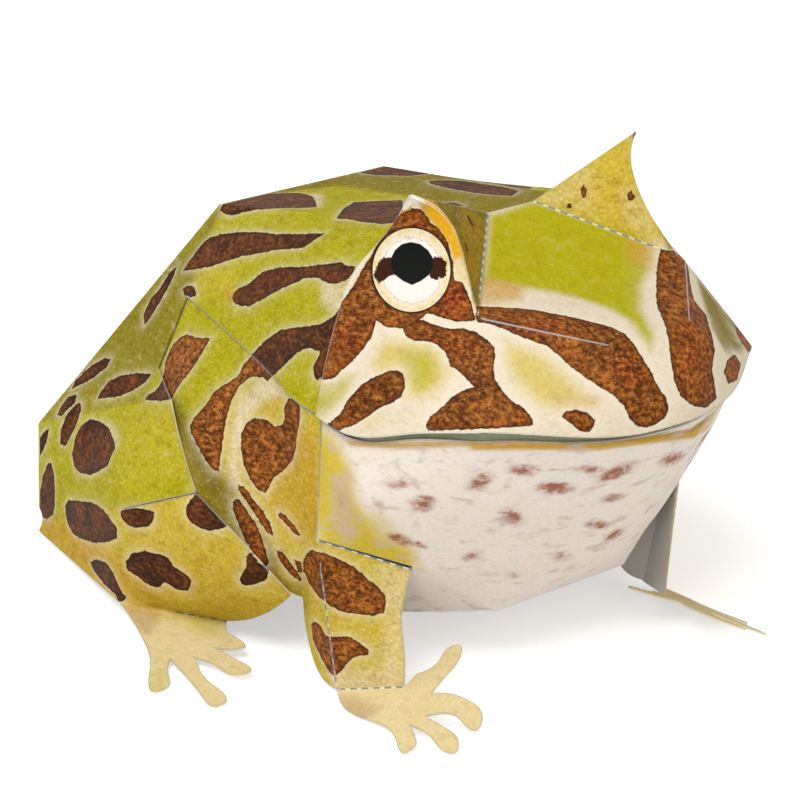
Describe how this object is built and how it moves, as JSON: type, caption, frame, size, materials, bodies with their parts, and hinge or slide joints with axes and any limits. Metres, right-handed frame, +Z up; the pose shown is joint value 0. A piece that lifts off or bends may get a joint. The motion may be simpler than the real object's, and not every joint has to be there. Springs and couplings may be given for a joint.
{
  "type": "folded paper frog",
  "caption": "Sitting horned frog cut, folded and glued from printed card: hollow body, wide closed-lip mouth, two pointed brows and four splayed feet.",
  "frame": {"origin": "on the table under the middle of the frog's bounding box", "axes": "+Z up, -Y the way the frog looks, +X to the frog's left"},
  "size_m": [0.1082, 0.1135, 0.078],
  "materials": {
    "printed_card_top": "matte print",
    "printed_card_chin": "matte print",
    "printed_card_flank": "matte print"
  },
  "bodies": {
    "root": {"head_sheet": "printed_card_top", "back_sheet": "printed_card_top", "chin_sheet": "printed_card_chin", "flank_right": "printed_card_flank", "flank_left": "printed_card_flank"}
  },
  "joints": []
}
